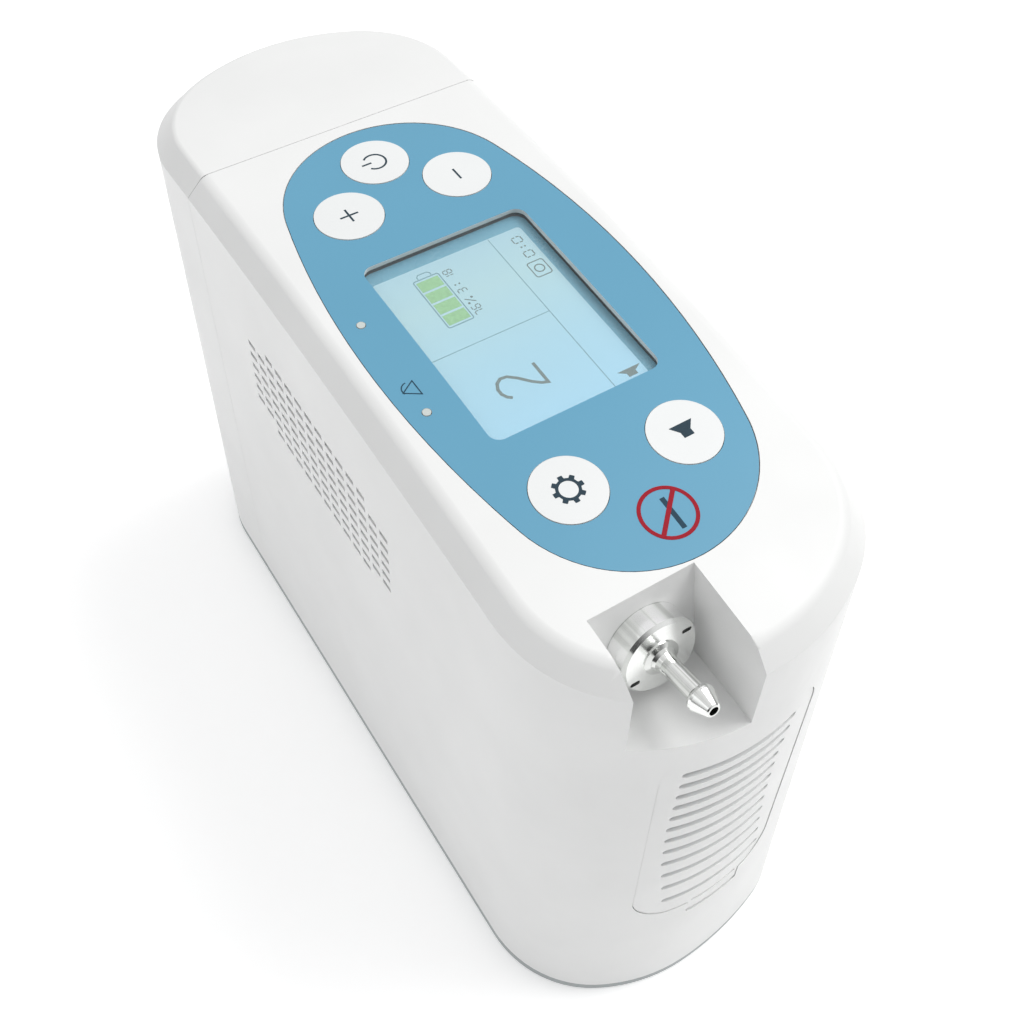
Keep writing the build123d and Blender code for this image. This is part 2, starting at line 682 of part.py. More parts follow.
# ---------------------------------------------------------------- internals
def make_bulkhead():
    wall = body_block(WALL + 0.2, (FLOOR_TOP_Z + 0.3, 152)) & box((-60, 60), (SEAM_Y - 3.2, SEAM_Y - 1.0), (0, 180))
    clear = PACK_TRAVEL_CLEAR
    for side in (-1, 1):
        slot_x = (side * RIB_X - 2 - clear, side * RIB_X + 2 + clear)
        wall = wall - box(slot_x, (SEAM_Y - 6, SEAM_Y + 2), (30 - clear, 120 + clear))
    return wall - box((-10.3, 10.3), (SEAM_Y - 6, SEAM_Y + 2), (19.7, 32.3))


def make_dock_connector():
    body = box((-10, 10), (SEAM_Y - 7.0, SEAM_Y - 0.4), (20, 32))
    for x in (-6.0, -2.0, 2.0, 6.0):
        body = body - box((x - 1.0, x + 1.0), (SEAM_Y - 5.0, SEAM_Y), (22.5, 29.5))
    return body


def make_chassis():
    tray = box((-33, 33), (-84, 55), (9, 11))
    for place in boss_places():
        tray = tray - rod(place, 5.2, (5, 20))
    for x in (-24, 24):
        for y in (-78, -10, 20):
            tray = tray.fuse(box((x - 4, x + 4), (y - 4, y + 4), (FLOOR_TOP_Z, 9.5)))
    return tray


def mount_places():
    return [(dx, COMPRESSOR_Y + dy) for dx in (-18, 18) for dy in (-18, 18)]


def make_isolation_mounts():
    pieces = []
    for place in mount_places():
        pieces.append(rod(place, 5.0, (11, 13)).fuse(rod(place, 3.6, (12, 17)), rod(place, 5.0, (16, 18))))
    return group(pieces)


def make_motor_can():
    centre = (0, COMPRESSOR_Y)
    can = rod(centre, MOTOR_RADIUS, (20, 56)) - rod(centre, MOTOR_RADIUS - 2.2, (22, 54))
    flange = box((-24, 24), (COMPRESSOR_Y - 24, COMPRESSOR_Y + 24), (18, 20))
    can = can.fuse(flange)
    return can - rod(centre, 6.0, (17, 30)) - rod(centre, 6.0, (50, 58))


def make_motor_bearings():
    centre = (0, COMPRESSOR_Y)
    rings = []
    for z_range in ((18.2, 22.0), (54.2, 56.0)):
        rings.append(rod(centre, 6.0, z_range) - rod(centre, SHAFT_RADIUS + RUNNING_CLEARANCE, (0, 100)))
    return group(rings)


def make_rotor():
    """Motor rotor, shaft and the eccentric that drives the pistons."""
    centre = (0, COMPRESSOR_Y)
    shaft = rod(centre, SHAFT_RADIUS, (18.4, 80))
    magnet = rod(centre, 12.5, (25, 51))
    eccentric = rod((0, COMPRESSOR_Y + 1.8), 6.5, (66, 76))
    return shaft.fuse(magnet, eccentric)


def make_stator():
    """Stator ring with open winding slots."""
    centre = (0, COMPRESSOR_Y)
    ring = rod(centre, MOTOR_RADIUS - 2.3, (26, 50)) - rod(centre, 13.2, (20, 60))
    for index in range(9):
        angle = math.radians(index * 40)
        x = 15.2 * math.cos(angle)
        y = COMPRESSOR_Y + 15.2 * math.sin(angle)
        ring = ring - rod((x, y), 1.6, (20, 60))
    return ring


def make_crankcase():
    y = COMPRESSOR_Y
    case = box((-22, 22), (y - 22, y + 22), (56, 84))
    case = case - rod((0, y), 16.0, (59, 90))
    case = case - rod((0, y), 4.0, (50, 62))
    return case - rod_y(0, 71, 9.6, (y - 30, y + 30))


def make_crankcase_cover():
    y = COMPRESSOR_Y
    cover = box((-22, 22), (y - 22, y + 22), (84, 86))
    for dx in (-18, 18):
        for dy in (-18, 18):
            cover = cover.fuse(rod((dx, y + dy), 2.6, (86, 88)))
    return cover


def make_cylinder_head(side):
    """Cylinder with cooling fins and its end cap."""
    y = COMPRESSOR_Y
    near = y + side * 22
    far = y + side * 40
    span = sorted((near, far))
    block = box((-15, 15), span, (58, 84))
    for index in range(3):
        middle = near + side * (4 + 4.5 * index)
        groove = (middle - 1, middle + 1)
        ring = box((-20, 20), groove, (54, 88)) - box((-12.2, 12.2), groove, (60.5, 81.5))
        block = block - ring
    bore = sorted((near - side * 1, far - side * 3))
    return block - rod_y(0, 71, 9.6, bore)


def make_pistons():
    pieces = []
    for side in (-1, 1):
        y = COMPRESSOR_Y
        span = sorted((y + side * 24, y + side * 30))
        head = rod_y(0, 71, 9.4, span)
        stem = box((-2, 2), sorted((y + side * 17.0, y + side * 25)), (68, 74))
        pieces.append(head.fuse(stem))
    return group(pieces)


def make_fan_frame():
    """Square fan housing with four screw holes, two struts and the hub's fixed pin."""
    x, y, z = FAN_CENTRE
    half = FAN_SIZE / 2
    front, back = fan_depth()
    frame = box((x - half, x + half), (front, back), (z - half, z + half))
    frame = frame - rod_y(x, z, half - FAN_RIM, (front - 1, back + 1))
    for dx in (-1, 1):
        for dz in (-1, 1):
            frame = frame - rod_y(x + dx * (half - 4), z + dz * (half - 4), 1.7, (front - 1, back + 1))
    frame = frame.fuse(rod_y(x, z, FAN_HUB_RADIUS, (back - 2.0, back)))
    for angle in (45, 135):
        bar = Pos(x, back - 1.0, z) * Rot(0, angle, 0) * Box(2 * half - 2.4, 2.0, 2.4)
        frame = frame.fuse(bar)
    return frame.fuse(rod_y(x, z, FAN_PIN_RADIUS, (front + 3.0, back - 1)))


def fan_depth():
    """Front and back of the fan."""
    middle = FAN_CENTRE[1]
    return middle - FAN_DEPTH / 2, middle + FAN_DEPTH / 2


def make_fan_rotor():
    """Hub with seven pitched blades, bored for the fixed pin."""
    x, _, z = FAN_CENTRE
    front, back = fan_depth()
    hub = rod_y(x, z, FAN_HUB_RADIUS, (front + 1.5, back - 2.6))
    blade = Pos(15.2, 0, 0) * Rot(38, 0, 0) * Box(14.8, 9.5, 1.2)
    blades = []
    for index in range(FAN_BLADES):
        blades.append(Pos(x, front + 6.2, z) * Rot(0, index * 360 / FAN_BLADES, 0) * blade)
    rotor = hub.fuse(*blades)
    return rotor - rod_y(x, z, FAN_PIN_RADIUS + RUNNING_CLEARANCE, (front + 2.4, back))


def column_places():
    return [(-COLUMN_X, COLUMN_Y), (COLUMN_X, COLUMN_Y)]


def make_column(place):
    low, high = COLUMN_Z
    return rod(place, COLUMN_RADIUS, COLUMN_Z) - rod(place, COLUMN_RADIUS - 1.5, (low - 1, high + 1))


def make_sieve_bed(place):
    low, high = COLUMN_Z
    return rod(place, COLUMN_RADIUS - 1.8, (low + 3, high - 3))


def make_column_base(place):
    cap = rod(place, COLUMN_RADIUS + 1.2, (11, COLUMN_Z[0])).fuse(
        rod(place, COLUMN_RADIUS - 1.6, (20, COLUMN_Z[0] + 2.6)))
    return cap


def make_valve_manifold():
    low = COLUMN_Z[1]
    block = box((-34, 34), (22, 55), (low, low + 11))
    for place in column_places():
        block = block.fuse(rod(place, COLUMN_RADIUS - 1.6, (low - 2.6, low + 1)))
    return block - rod_y(-8, low + 6, 1.5, (10, 30)) - rod_y(8, low + 6, 1.5, (10, 30))


def make_valves():
    low = COLUMN_Z[1] + 11
    pieces = []
    for x in (-25.5, -8.5, 8.5, 25.5):
        body = box((x - 6.5, x + 6.5), (25, 51), (low, low + 3)).fuse(box((x - 5.5, x + 5.5), (30, 46), (low + 2, low + 13)))
        pieces.append(body)
    return group(pieces)


def make_product_tank():
    x, z, radius = -19.5, 108.0, 13.5
    ends = (-46, 1)
    body = rod_y(x, z, radius, ends)
    return body.fuse(*(Pos(x, y, z) * Sphere(radius) for y in ends))


def make_oxygen_sensor():
    body = box((0, 14), (-44, -4), (92, 104))
    return body.fuse(rod_y(7, 98, 3.0, (-48, 0)))


def make_pressure_regulator():
    place = (5, -54)
    return rod(place, 9.0, (108, 120)).fuse(rod(place, 6.0, (119, 130)), rod_x(place[1], 114, 2.5, (-5, 15)))


def make_exhaust_muffler():
    centre = (24.5, -62)
    body = rod(centre, 9.5, (14, 50)).fuse(rod(centre, 3.0, (49, 56)))
    return body - rod(centre, 1.6, (40, 60))


def make_compressor_filter():
    centre = (-25, -60)
    body = rod(centre, 9.0, (14, 44))
    for index in range(5):
        z = 18 + 5 * index
        body = body - (rod(centre, 10, (z, z + 1.6)) - rod(centre, 8.0, (z - 1, z + 3)))
    return body.fuse(rod(centre, 3.0, (43, 50)))


def make_control_board():
    return box((30.0, 31.6), (-60, 16), (92, 146))


def make_board_parts():
    """Capacitors, coil, drivers and connectors on the control board."""
    pieces = []
    for y in (-52, -42):
        pieces.append(rod_x(y, 132, 4.2, (20, 30)))
    pieces.append(box((23, 30), (-32, -18), (124, 138)))
    pieces.append(box((27, 30), (-12, 2), (124, 136)))
    pieces.append(box((25, 30), (-56, -44), (98, 108)))
    for y in (-34, -24, -14, -4):
        pieces.append(box((26, 30), (y, y + 7), (97, 104)))
    return group(pieces)


def make_dc_jack():
    x_out = HALF_WIDTH - 0.3
    body = rod_x(JACK_Y, JACK_Z, 4.4, (HALF_WIDTH - 8, x_out))
    body = body.fuse(box((HALF_WIDTH - 13, HALF_WIDTH - WALL - 0.3), (JACK_Y - 5.5, JACK_Y + 5.5), (JACK_Z - 5.5, JACK_Z + 5.5)))
    body = body - rod_x(JACK_Y, JACK_Z, 2.75, (x_out - 9.5, x_out + 1))
    return body.fuse(rod_x(JACK_Y, JACK_Z, 1.0, (x_out - 10, x_out - 1.5)))


def tube(points, bend, radius=2.4, bore=1.5):
    """Soft hose along straight runs and arcs."""
    path = FilletPolyline(*points, radius=bend)
    section = Plane(origin=path @ 0, z_dir=path % 0) * (Circle(radius) - Circle(bore))
    return sweep(section, path=path)


def make_hoses():
    """Air, nitrogen and oxygen hoses between the pneumatic parts."""
    tail = outlet_plane().origin - outlet_plane().z_dir * 8.05
    drop = tail - outlet_plane().z_dir * 9
    routes = [
        [(24.5, -62, 56.1), (24.5, -62, 70), (15.1, -62, 70)],
        [(-25, -60, 50.1), (-25, -60, 66), (-15.1, -60, 66)],
        [(8, 8, 84.1), (8, 8, 130), (8, 21.9, 130)],
        [(-8, 21.9, 130), (-8, -2, 130), (-19.5, -2, 130), (-19.5, -2, 121.6)],
        [tuple(tail), tuple(drop), (-19.5, -46, 134), (-19.5, -46, 121.6)],
    ]
    return group(tube(points, 4.0) for points in routes)


def main():
    outer = outer_form()
    space = cavity()
    save("main_housing", make_main_housing(outer, space))
    save("base_plate", make_base_plate())
    save("feet", make_feet([(side * 27, y) for side in (-1, 1) for y in (-82, 46)]))
    save("base_screws", make_base_screws())

    save("overlay_panel", make_overlay())
    for name, place in key_places().items():
        save(name, make_key(place))
    save("display_bezel", make_bezel())
    save("display_lens", make_lens())
    save("display_module", make_lcd())
    save("display_board", make_display_board())
    save("display_standoffs", make_standoffs())
    save("board_components", make_board_components())
    save("light_pipes", make_light_pipes())

    save("outlet_flange", make_flange())
    save("outlet_barb", make_barb())
    save("outlet_nut", make_outlet_nut())

    save("louvre_cover", make_louvre_cover())
    save("intake_duct", make_intake_duct())
    save("dust_filters", group([make_intake_filter(), make_side_filter(-1), make_side_filter(1)]))
    save("side_grilles", group(make_side_grille(side) for side in (-1, 1)))
    save("fan_frame", make_fan_frame())
    save("fan_rotor", make_fan_rotor())

    save("battery_shell", make_battery_shell(outer, space))
    save("battery_base", make_battery_base())
    save("battery_feet", make_feet([(side * 20, 92) for side in (-1, 1)]))
    save("battery_lid", make_battery_lid())
    save("battery_cells", make_battery_cells())
    save("cell_holders", make_cell_holders())
    save("battery_electronics", group([make_battery_board(), make_battery_connector()]))
    save("battery_latch", make_battery_latch())

    save("bulkhead", make_bulkhead())
    save("dock_connector", make_dock_connector())
    save("chassis", make_chassis())
    save("isolation_mounts", make_isolation_mounts())
    save("motor_can", make_motor_can())
    save("motor_stator", make_stator())
    save("motor_bearings", make_motor_bearings())
    save("motor_rotor", make_rotor())
    save("crankcase", make_crankcase())
    save("crankcase_cover", make_crankcase_cover())
    save("cylinder_heads", group(make_cylinder_head(side) for side in (-1, 1)))
    save("pistons", make_pistons())
    save("sieve_columns", group(make_column(place) for place in column_places()))
    save("sieve_beds", group(make_sieve_bed(place) for place in column_places()))
    save("column_bases", group(make_column_base(place) for place in column_places()))
    save("valve_manifold", make_valve_manifold())
    save("solenoid_valves", make_valves())
    save("product_tank", make_product_tank())
    save("oxygen_sensor", make_oxygen_sensor())
    save("pressure_regulator", make_pressure_regulator())
    save("exhaust_muffler", make_exhaust_muffler())
    save("compressor_filter", make_compressor_filter())
    save("control_board", make_control_board())
    save("board_parts", make_board_parts())
    save("dc_jack", make_dc_jack())
    save("hoses", make_hoses())


main()
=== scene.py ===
"""Looks of the portable oxygen concentrator: finishes, printed symbols, display picture and studio."""
import json
import math

import bpy
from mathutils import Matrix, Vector
from mathutils.kdtree import KDTree


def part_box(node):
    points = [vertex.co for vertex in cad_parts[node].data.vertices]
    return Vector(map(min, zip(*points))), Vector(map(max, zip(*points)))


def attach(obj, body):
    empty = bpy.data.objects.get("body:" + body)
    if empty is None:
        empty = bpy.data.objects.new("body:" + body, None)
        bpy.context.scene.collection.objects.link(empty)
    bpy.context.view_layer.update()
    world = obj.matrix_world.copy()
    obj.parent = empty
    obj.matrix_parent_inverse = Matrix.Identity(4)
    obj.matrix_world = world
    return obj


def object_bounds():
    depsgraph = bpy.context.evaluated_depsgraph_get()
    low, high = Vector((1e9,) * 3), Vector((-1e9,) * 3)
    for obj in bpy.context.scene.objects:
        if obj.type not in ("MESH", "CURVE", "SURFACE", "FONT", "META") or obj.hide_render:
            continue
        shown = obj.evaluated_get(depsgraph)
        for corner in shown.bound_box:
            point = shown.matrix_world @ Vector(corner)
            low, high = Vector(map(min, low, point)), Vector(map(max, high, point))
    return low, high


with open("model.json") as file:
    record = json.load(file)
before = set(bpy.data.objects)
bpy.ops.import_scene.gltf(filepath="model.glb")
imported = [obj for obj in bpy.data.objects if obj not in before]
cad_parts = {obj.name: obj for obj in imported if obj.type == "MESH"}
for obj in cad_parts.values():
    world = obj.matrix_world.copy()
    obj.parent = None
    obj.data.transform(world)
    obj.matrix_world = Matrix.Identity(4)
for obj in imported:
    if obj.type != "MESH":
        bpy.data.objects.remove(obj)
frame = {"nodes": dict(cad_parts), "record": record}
cad_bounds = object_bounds()
nodes = frame["nodes"]
scene = bpy.context.scene

MM = 0.001
CROWN_RADIUS = 1.100       # the top is a shallow arch along Y
CROWN_Z = 0.165
window_low, window_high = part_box("display_lens")
PANEL = (window_low + window_high) / 2   # middle of the display window, under the arch's highest line
flange_low, flange_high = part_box("outlet_flange")
OUTLET = (flange_low + flange_high) / 2  # middle of the outlet's flange
OUTLET_TILT = math.radians(14)
OUTLET_AXIS = Vector((0, -math.cos(OUTLET_TILT), math.sin(OUTLET_TILT)))
FLANGE_HALF = 0.0028       # half the flange's thickness


def crown_height(y):
    """Height of the arched top at one place along the body."""
    return CROWN_Z - CROWN_RADIUS + math.sqrt(CROWN_RADIUS ** 2 - (y - PANEL.y) ** 2)


# ---------------------------------------------------------------- node helpers
NOISE_LOW = 0.3            # nearly all of a noise lies between these two levels
NOISE_HIGH = 0.7


def shade(colour, factor):
    """Darker or lighter colour."""
    return tuple(min(1.0, channel * factor) for channel in colour)


def opaque(colour):
    """Add the fourth channel to a plain colour; a socket stays as it is."""
    return (*colour, 1.0) if isinstance(colour, tuple) else colour


class Tree:
    """The nodes of a material or of the world, added and linked in short calls."""

    def __init__(self, owner, shader="Principled BSDF", place="Object"):
        owner.use_nodes = True
        self.owner = owner
        self.nodes = owner.node_tree.nodes
        self.links = owner.node_tree.links
        self.shader = self.nodes[shader]
        self.place = self.add("ShaderNodeTexCoord").outputs[place]

    def put(self, value, socket):
        """Link a socket's value, or set a plain one."""
        if isinstance(value, bpy.types.NodeSocket):
            self.links.new(value, socket)
        else:
            socket.default_value = value

    def add(self, kind, inputs=None, **settings):
        node = self.nodes.new(kind)
        for key, value in settings.items():
            setattr(node, key, value)
        for key, value in (inputs or {}).items():
            self.put(value, node.inputs[key])
        return node

    def noise(self, size, detail=2.0, roughness=0.5, place=None):
        """Noise whose features are about size metres across."""
        inputs = {"Vector": place or self.place, "Scale": 1 / size, "Detail": detail, "Roughness": roughness}
        return self.add("ShaderNodeTexNoise", inputs).outputs["Fac"]

    def ramp(self, value, stops):
        """Colour ramp through (position, colour) stops."""
        node = self.add("ShaderNodeValToRGB", {"Fac": value})
        elements = node.color_ramp.elements
        while len(elements) < len(stops):
            elements.new(1.0)
        for element, (position, colour) in zip(elements, stops):
            element.position = position
            element.color = opaque(colour)
        return node.outputs["Color"]

    def tint(self, noise, dark, light):
        """Colour that follows a noise from dark to light."""
        return self.ramp(noise, ((NOISE_LOW, dark), (NOISE_HIGH, light)))

    def span(self, value, low, high, to_low, to_high):
        """Map a number from one range to another."""
        inputs = {"Value": value, "From Min": low, "From Max": high, "To Min": to_low, "To Max": to_high}
        return self.add("ShaderNodeMapRange", inputs).outputs["Result"]

    def vary(self, noise, low, high):
        """Number that follows a noise from low to high."""
        return self.span(noise, NOISE_LOW, NOISE_HIGH, low, high)

    def mix(self, factor, a, b, blend="MIX"):
        """Mix two colours, or combine them by another blend."""
        inputs = {0: factor, 6: opaque(a), 7: opaque(b)}
        return self.add("ShaderNodeMix", inputs, data_type="RGBA", blend_type=blend).outputs[2]

    def vector(self, operation, a, b=None):
        """Vector maths: a length or a dot product gives a number, the rest a vector."""
        inputs = {0: a} if b is None else {0: a, 1: b}
        result = "Value" if operation in ("LENGTH", "DOT_PRODUCT") else "Vector"
        return self.add("ShaderNodeVectorMath", inputs, operation=operation).outputs[result]

    def scale(self, vector, factor):
        """Vector or colour times a number."""
        inputs = {0: vector, "Scale": factor}
        return self.add("ShaderNodeVectorMath", inputs, operation="SCALE").outputs["Vector"]

    def combine(self, x, y, z):
        return self.add("ShaderNodeCombineXYZ", {"X": x, "Y": y, "Z": z}).outputs["Vector"]

    def coordinate(self, axis):
        """One of the place's three coordinates."""
        return self.add("ShaderNodeSeparateXYZ", {"Vector": self.place}).outputs[axis]

    def facing(self, direction):
        """How far the surface faces a direction: 1 straight on, 0 edge on."""
        normal = self.add("ShaderNodeNewGeometry").outputs["Normal"]
        return self.vector("DOT_PRODUCT", normal, direction)

    def bump(self, height, strength, distance):
        inputs = {"Height": height, "Strength": strength, "Distance": distance}
        return self.add("ShaderNodeBump", inputs).outputs["Normal"]

    def finish(self, **inputs):
        """Set or link the shader's sockets, written with _ for a space."""
        for key, value in inputs.items():
            socket = self.shader.inputs[key.replace("_", " ")]
            self.put(opaque(value), socket)
        return self.owner


def material_tree(name):
    return Tree(bpy.data.materials.new(name))


# ---------------------------------------------------------------- materials
def moulded_plastic(name, colour, rough=0.42, grain=0.00045, depth=0.000012):
    """Spark-eroded moulded plastic: fine grain, slight cloudiness and uneven gloss."""
    tree = material_tree(name)
    cloud = tree.noise(0.035, 3.0)
    patches = tree.noise(0.012, 3.0)
    fine = tree.noise(grain, 4.0, 0.6)
    return tree.finish(
        Base_Color=tree.tint(cloud, shade(colour, 0.97), shade(colour, 1.015)),
        Roughness=tree.vary(patches, rough - 0.035, rough + 0.045),
        Normal=tree.bump(fine, 0.35, depth),
        IOR=1.50,
        Specular_IOR_Level=0.45,
    )


def panel_film():
    """Printed polyester overlay: velvet face, a painted gap shadow on the outer cut edge and pale cut edges
    round the openings.
    """
    tree = material_tree("panel_film")
    colour = (0.122, 0.338, 0.490)
    face = tree.tint(tree.noise(0.05), shade(colour, 0.975), shade(colour, 1.02))
    low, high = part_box("overlay_panel")
    half = (high - low) / 2
    offset = tree.vector("SUBTRACT", tree.place, (low + high) / 2)
    reach = tree.vector("LENGTH", tree.vector("MULTIPLY", offset, (1 / half.x, 1 / half.y, 0.0)))
    gap_shadow_mask = tree.span(reach, 0.955, 0.975, 0.0, 1.0)
    # The outer cut edge is painted near-black navy as a painted shadow of the gap to the recess wall; the
    # edges round the openings keep a pale cut-edge colour.
    edge = tree.mix(gap_shadow_mask, (0.80, 0.80, 0.79), (0.010, 0.030, 0.060))
    upward = tree.span(tree.facing((0, 0, 1)), 0.25, 0.6, 0.0, 1.0)
    velvet = tree.noise(0.00022, 3.0, 0.7)
    return tree.finish(
        Base_Color=tree.mix(upward, edge, face),
        Roughness=tree.vary(tree.noise(0.02), 0.34, 0.42),
        Normal=tree.bump(velvet, 0.3, 0.000008),
        Specular_IOR_Level=0.3,
    )


def bezel_plastic():
    """Dark window frame with a pale upper rim."""
    tree = material_tree("bezel_plastic")
    rim_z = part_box("display_bezel")[1].z - 0.00105
    rim = tree.span(tree.coordinate("Z"), rim_z, rim_z + 0.0002, 0.0, 1.0)
    grain = tree.noise(0.0004, 3.0)
    return tree.finish(
        Base_Color=tree.mix(rim, (0.055, 0.054, 0.048), (0.80, 0.80, 0.78)),
        Roughness=tree.vary(grain, 0.42, 0.58),
        Normal=tree.bump(grain, 0.25, 0.00001),
    )


def clear_lens():
    """Hard-coated acrylic window, nearly clear."""
    tree = material_tree("clear_lens")
    haze = tree.vary(tree.noise(0.006, 3.0), 0.03, 0.08)
    return tree.finish(Base_Color=(0.92, 0.97, 1.0), Alpha=0.06, Roughness=haze, IOR=1.49)


def display_border():
    """Unlit edge of the liquid crystal glass, given a faint painted glow."""
    tree = material_tree("display_border")
    weave = tree.noise(0.00035, 4.0, 0.8)
    tone = tree.tint(weave, (0.075, 0.250, 0.350), (0.120, 0.345, 0.455))
    return tree.finish(
        Base_Color=tone,
        Roughness=tree.vary(weave, 0.22, 0.3),
        # faint painted glow on the unlit edge
        Emission_Color=tone,
        Emission_Strength=0.12,
    )


def display_picture():
    """Lit liquid crystal field: pale cyan, fading along its length, with a fine diffuser grain."""
    tree = material_tree("display_picture")
    along = tree.span(tree.coordinate("Y"), PANEL.y - 0.026, PANEL.y + 0.024, 0.0, 1.0)
    field = tree.ramp(along, (
        (0.0, (0.270, 0.490, 0.615)),
        (0.35, (0.280, 0.485, 0.580)),
        (0.75, (0.315, 0.490, 0.530)),
        (1.0, (0.290, 0.465, 0.530)),
    ))
    grain = tree.noise(0.00045, 4.0, 0.75)
    speck = tree.tint(grain, (0.93, 0.95, 0.96), (1.0, 1.0, 1.0))
    tone = tree.mix(1.0, field, speck, "MULTIPLY")
    return tree.finish(
        Base_Color=tone,
        Roughness=tree.vary(grain, 0.3, 0.4),
        Emission_Color=tone,
        Emission_Strength=0.28,
    )


def print_ink(name, colour, glow=0.0):
    """Screen-printed ink with a slightly uneven lay."""
    tree = material_tree(name)
    lay = tree.noise(0.0006, 3.0)
    tone = tree.tint(lay, shade(colour, 0.9), shade(colour, 1.08))
    if glow:
        tree.finish(Emission_Color=tone, Emission_Strength=glow)
    return tree.finish(
        Base_Color=tone,
        Roughness=tree.vary(lay, 0.52, 0.62),
        Normal=tree.bump(lay, 0.2, 0.00001),
        Specular_IOR_Level=0.12,
    )


def turned_metal(name, colour, rough, groove):
    """Metal turned about the outlet's axis: tool marks round it, sides painted lighter with painted
    reflection streaks, and a painted contact shadow on the rear rim.
    """
    tree = material_tree(name)
    turn = OUTLET_AXIS.to_track_quat("Z", "X").to_matrix().transposed()
    offset = tree.vector("SUBTRACT", tree.place, OUTLET)
    across, over, along = [tree.vector("DOT_PRODUCT", offset, row) for row in turn]
    spoke = tree.combine(across, over, 0.0)
    marks = tree.noise(0.00018, 3.0, 0.65, place=tree.combine(tree.vector("LENGTH", spoke), 0.0, along))
    facing = tree.facing(OUTLET_AXIS)
    sideways = tree.span(facing, 0.2, 0.6, 1.0, 0.0)
    # painted reflection streaks that vary round the axis, on the sides only
    round_axis = tree.noise(0.30, 3.0, 0.6, place=tree.vector("NORMALIZE", spoke))
    reflection_streaks = tree.span(round_axis, 0.38, 0.62, 0.76, 1.20)
    # the sides are painted lighter than the face: a painted highlight
    level = tree.span(facing, 0.4, 0.9, 1.30, 1.04)
    for factor in (
        tree.vary(tree.noise(0.003, 3.0), 0.95, 1.03),
        tree.add("ShaderNodeMix", {0: sideways, 2: 1.0, 3: reflection_streaks}).outputs[0],
        # painted contact shadow on the rim against the wall
        tree.span(along, -FLANGE_HALF, -FLANGE_HALF + 0.0004, 0.3, 1.0),
    ):
        level = tree.add("ShaderNodeMath", {0: level, 1: factor}, operation="MULTIPLY").outputs["Value"]
    return tree.finish(
        Base_Color=tree.scale(colour, level),
        Metallic=1.0,
        Roughness=tree.vary(marks, rough * 0.9, rough * 1.2),
        Normal=tree.bump(marks, 0.4, groove),
    )


def plain_metal(name, colour, rough, depth=0.00002):
    """Cast, drawn or blasted metal."""
    tree = material_tree(name)
    skin = tree.noise(0.0008, 4.0, 0.6)
    return tree.finish(
        Base_Color=tree.tint(tree.noise(0.012), shade(colour, 0.93), shade(colour, 1.04)),
        Metallic=1.0,
        Roughness=tree.vary(skin, rough - 0.06, rough + 0.08),
        Normal=tree.bump(skin, 0.4, depth),
    )


def soft_rubber(name, colour, rough=0.7):
    """Moulded rubber with a little dust on it."""
    tree = material_tree(name)
    skin = tree.noise(0.0006, 4.0, 0.7)
    return tree.finish(
        Base_Color=tree.ramp(tree.noise(0.004, 4.0), ((0.45, colour), (0.75, shade(colour, 1.5)))),
        Roughness=tree.vary(skin, rough - 0.08, rough + 0.1),
        Normal=tree.bump(skin, 0.5, 0.00004),
        Sheen_Weight=0.08,
    )


def open_foam(name, colour):
    """Reticulated filter foam, painted darker towards the middle of each pore: painted shade in the open
    pores.
    """
    tree = material_tree(name)
    inputs = {"Vector": tree.place, "Scale": 1 / 0.0009}
    wall = tree.add("ShaderNodeTexVoronoi", inputs, feature="DISTANCE_TO_EDGE").outputs["Distance"]
    return tree.finish(
        # painted shade: darker from the strands towards the middle of each pore
        Base_Color=tree.ramp(wall, ((0.0, shade(colour, 1.15)), (0.25, colour), (0.6, shade(colour, 0.45)))),
        Roughness=tree.span(wall, 0.0, 0.5, 0.8, 0.95),
        Normal=tree.bump(wall, 0.8, 0.0004),
    )


def solder_mask(name, colour):
    """Circuit board lacquer over copper tracks."""
    tree = material_tree(name)
    tracks = tree.add("ShaderNodeTexBrick", {
        "Vector": tree.place,
        "Scale": 160.0,
        "Mortar Size": 0.03,
        "Color1": opaque(colour),
        "Color2": opaque(shade(colour, 1.15)),
        "Mortar": opaque(shade(colour, 1.8)),
    })
    return tree.finish(
        Base_Color=tracks.outputs["Color"],
        Roughness=tree.vary(tree.noise(0.002), 0.25, 0.4),
        Normal=tree.bump(tracks.outputs["Fac"], 0.4, 0.00003),
    )


def bead_bed(name, colour):
    """Packed zeolite beads, painted darker towards their edges: painted shade in the gaps between them."""
    tree = material_tree(name)
    inputs = {"Vector": tree.place, "Scale": 1 / 0.0014}
    near = tree.add("ShaderNodeTexVoronoi", inputs).outputs["Distance"]
    # painted shade: darker from each bead's middle towards the gaps between beads
    stops = ((0.0, shade(colour, 1.08)), (0.55, shade(colour, 0.85)), (0.8, shade(colour, 0.4)))
    return tree.finish(
        Base_Color=tree.ramp(near, stops),
        Roughness=tree.span(near, 0.0, 0.8, 0.75, 0.9),
        Normal=tree.bump(near, 1.0, 0.0006),
    )


